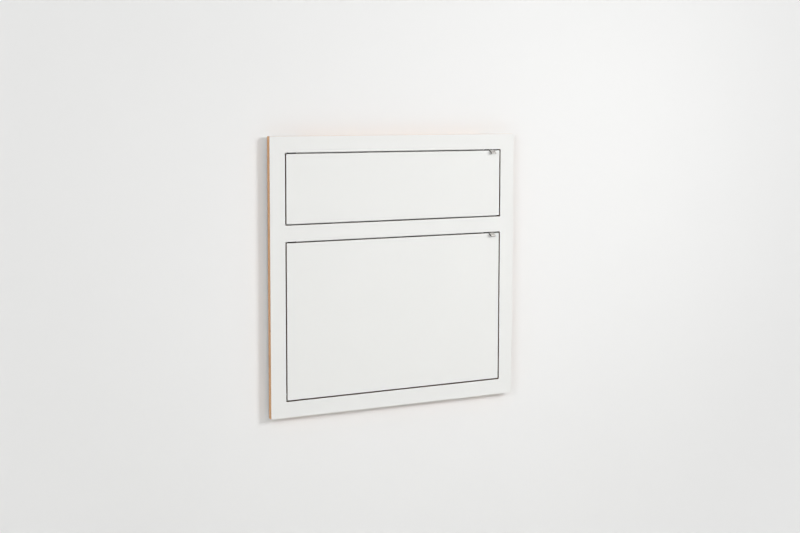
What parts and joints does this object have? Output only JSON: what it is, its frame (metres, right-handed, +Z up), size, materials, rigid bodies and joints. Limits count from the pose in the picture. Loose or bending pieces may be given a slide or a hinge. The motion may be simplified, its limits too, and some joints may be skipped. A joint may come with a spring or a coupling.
{
  "type": "fold down wall desk",
  "caption": "Flat framed wall panel with a desk flap and a shelf flap that fold down on side pins and rest on sliding stays; hangs on a bevelled wall cleat.",
  "frame": {"origin": "middle of the row of wall screws, on the wall plane", "axes": "+X to the viewer's right along the wall, +Y into the wall, +Z up"},
  "size_m": [0.8, 0.0428, 0.8],
  "materials": {
    "birch_plywood": "lacquered edge, satin",
    "white_laminate": "high-pressure laminate, fine matt",
    "pull_tab_steel": "fine brushed",
    "stay_steel": "satin nickel",
    "galvanised_steel": "galvanised sheet",
    "hardened_steel": "ground",
    "zinc_screw": "zinc plated",
    "nickel_plate": "bright nickel",
    "black_nylon": "moulded, matt",
    "white_acetal": "moulded, satin",
    "felt": "pressed felt",
    "rubber_pad": "matt"
  },
  "bodies": {
    "frame": {"frame_core": "birch_plywood", "frame_front_laminate": "white_laminate", "frame_back_laminate": "white_laminate", "hinge_bushes": "black_nylon", "catch_magnets": "nickel_plate", "closing_stops": "black_nylon", "closing_stop_felts": "felt", "closing_stop_screws": "zinc_screw", "frame_cleat": "birch_plywood", "frame_cleat_screws": "zinc_screw", "wall_cleat": "birch_plywood", "wall_spacers": "birch_plywood", "wall_spacer_pads": "rubber_pad", "wall_spacer_screws": "zinc_screw", "desk_stay_rail_left": "galvanised_steel", "desk_stay_rail_right": "galvanised_steel", "shelf_stay_rail_left": "galvanised_steel", "shelf_stay_rail_right": "galvanised_steel", "stay_rail_plugs": "black_nylon", "stay_rail_screws": "zinc_screw"},
    "desk_flap": {"desk_flap_core": "birch_plywood", "desk_flap_front_laminate": "white_laminate", "desk_flap_inner_laminate": "white_laminate", "desk_hinge_pins": "hardened_steel", "desk_hinge_set_screws": "zinc_screw", "desk_stay_lug_left": "stay_steel", "desk_stay_lug_right": "stay_steel", "desk_stay_lug_screws": "zinc_screw", "desk_stay_rivets": "hardened_steel", "desk_pull_tab": "pull_tab_steel", "desk_pull_tab_screws": "zinc_screw"},
    "shelf_flap": {"shelf_flap_core": "birch_plywood", "shelf_flap_front_laminate": "white_laminate", "shelf_flap_inner_laminate": "white_laminate", "shelf_hinge_pins": "hardened_steel", "shelf_hinge_set_screws": "zinc_screw", "shelf_stay_lug_left": "stay_steel", "shelf_stay_lug_right": "stay_steel", "shelf_stay_lug_screws": "zinc_screw", "shelf_stay_rivets": "hardened_steel", "shelf_pull_tab": "pull_tab_steel", "shelf_pull_tab_screws": "zinc_screw"},
    "desk_stay_arm_left": {"desk_stay_arm_left": "stay_steel"},
    "desk_stay_runner_left": {"desk_stay_runner_left": "white_acetal", "desk_stay_runner_stud_left": "hardened_steel"},
    "desk_stay_arm_right": {"desk_stay_arm_right": "stay_steel"},
    "desk_stay_runner_right": {"desk_stay_runner_right": "white_acetal", "desk_stay_runner_stud_right": "hardened_steel"},
    "shelf_stay_arm_left": {"shelf_stay_arm_left": "stay_steel"},
    "shelf_stay_runner_left": {"shelf_stay_runner_left": "white_acetal", "shelf_stay_runner_stud_left": "hardened_steel"},
    "shelf_stay_arm_right": {"shelf_stay_arm_right": "stay_steel"},
    "shelf_stay_runner_right": {"shelf_stay_runner_right": "white_acetal", "shelf_stay_runner_stud_right": "hardened_steel"}
  },
  "joints": [
    {"name": "desk_flap_hinge", "type": "hinge", "parent": "frame", "child": "desk_flap", "pos_m": [0, -0.021, -0.698], "axis": [1, 0, 0], "range_deg": [0, 90]},
    {"name": "desk_stay_arm_pivot_left", "type": "hinge", "parent": "desk_flap", "child": "desk_stay_arm_left", "pos_m": [-0.3505, -0.00625, -0.52527], "axis": [1, 0, 0], "range_deg": [-138.01, 0]},
    {"name": "desk_stay_runner_slide_left", "type": "slide", "parent": "frame", "child": "desk_stay_runner_left", "axis": [0, 0, -1], "range_m": [0, 0.24146]},
    {"name": "desk_stay_arm_pivot_right", "type": "hinge", "parent": "desk_flap", "child": "desk_stay_arm_right", "pos_m": [0.3505, -0.00625, -0.52527], "axis": [1, 0, 0], "range_deg": [-138.01, 0]},
    {"name": "desk_stay_runner_slide_right", "type": "slide", "parent": "frame", "child": "desk_stay_runner_right", "axis": [0, 0, -1], "range_m": [0, 0.24146]},
    {"name": "shelf_flap_hinge", "type": "hinge", "parent": "frame", "child": "shelf_flap", "pos_m": [0, -0.021, -0.195], "axis": [1, 0, 0], "range_deg": [0, 90]},
    {"name": "shelf_stay_arm_pivot_left", "type": "hinge", "parent": "shelf_flap", "child": "shelf_stay_arm_left", "pos_m": [-0.3505, -0.00625, -0.12262], "axis": [1, 0, 0], "range_deg": [-150.01, 0]},
    {"name": "shelf_stay_runner_slide_left", "type": "slide", "parent": "frame", "child": "shelf_stay_runner_left", "axis": [0, 0, -1], "range_m": [0, 0.10795]},
    {"name": "shelf_stay_arm_pivot_right", "type": "hinge", "parent": "shelf_flap", "child": "shelf_stay_arm_right", "pos_m": [0.3505, -0.00625, -0.12262], "axis": [1, 0, 0], "range_deg": [-150.01, 0]},
    {"name": "shelf_stay_runner_slide_right", "type": "slide", "parent": "frame", "child": "shelf_stay_runner_right", "axis": [0, 0, -1], "range_m": [0, 0.10795]}
  ],
  "couplings": [
    {"joint": "desk_stay_arm_pivot_left", "follows": "desk_flap_hinge", "ratio": -1.5333},
    {"joint": "desk_stay_runner_slide_left", "follows": "desk_flap_hinge", "m_per_rad": 0.15371},
    {"joint": "desk_stay_arm_pivot_right", "follows": "desk_flap_hinge", "ratio": -1.5333},
    {"joint": "desk_stay_runner_slide_right", "follows": "desk_flap_hinge", "m_per_rad": 0.15371},
    {"joint": "shelf_stay_arm_pivot_left", "follows": "shelf_flap_hinge", "ratio": -1.6667},
    {"joint": "shelf_stay_runner_slide_left", "follows": "shelf_flap_hinge", "m_per_rad": 0.068718},
    {"joint": "shelf_stay_arm_pivot_right", "follows": "shelf_flap_hinge", "ratio": -1.6667},
    {"joint": "shelf_stay_runner_slide_right", "follows": "shelf_flap_hinge", "m_per_rad": 0.068718}
  ]
}
